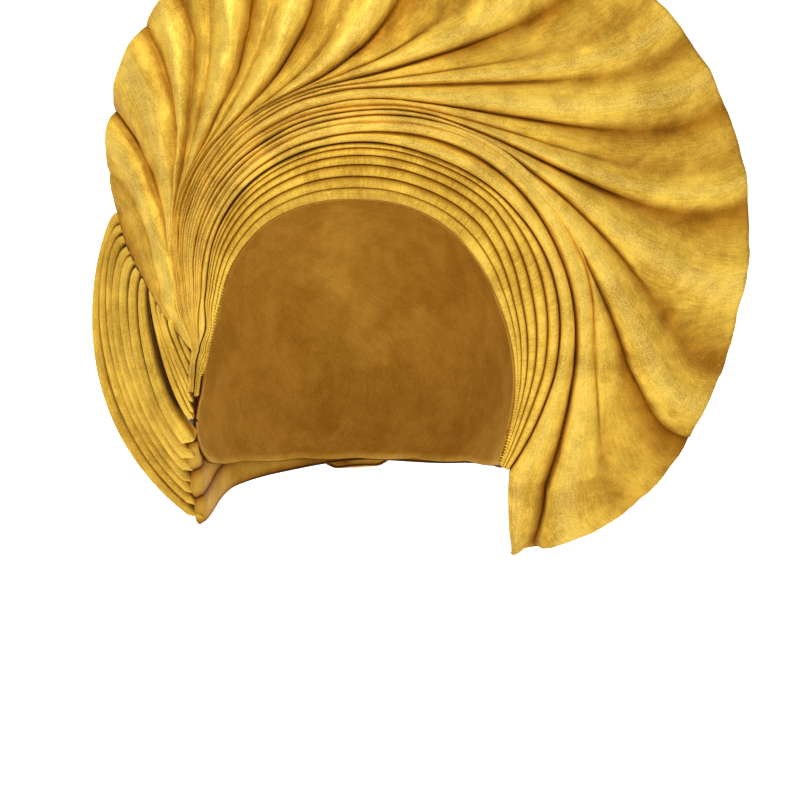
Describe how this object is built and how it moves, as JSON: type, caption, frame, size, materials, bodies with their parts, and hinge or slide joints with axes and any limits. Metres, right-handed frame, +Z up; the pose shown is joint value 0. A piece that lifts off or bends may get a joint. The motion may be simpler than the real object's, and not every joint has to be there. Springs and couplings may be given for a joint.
{
  "type": "tied gele head tie",
  "caption": "Tied head wrap of stiff gold metallic cloth, pleated across the brow, gathered at one temple and swept into a wide ruffled fan that stands over the head.",
  "frame": {"origin": "the inside of the crown, where the head tie sits on the top of the head", "axes": "+Z up, -Y towards where the wearer faces, +X the wearer's left hand side"},
  "size_m": [0.3074, 0.1963, 0.3033],
  "materials": {
    "gold_cloth": "stiff woven cloth with metallic gold thread",
    "deep_gold_cloth": "the same cloth, away from the light"
  },
  "bodies": {
    "root": {"crown_cap": "deep_gold_cloth", "brow_band": "gold_cloth", "ruffled_fan": "gold_cloth", "side_pleats_outer": "gold_cloth", "side_pleats_middle": "gold_cloth", "side_pleats_inner": "gold_cloth", "nape_wrap": "deep_gold_cloth", "nape_knot": "gold_cloth"}
  },
  "joints": []
}
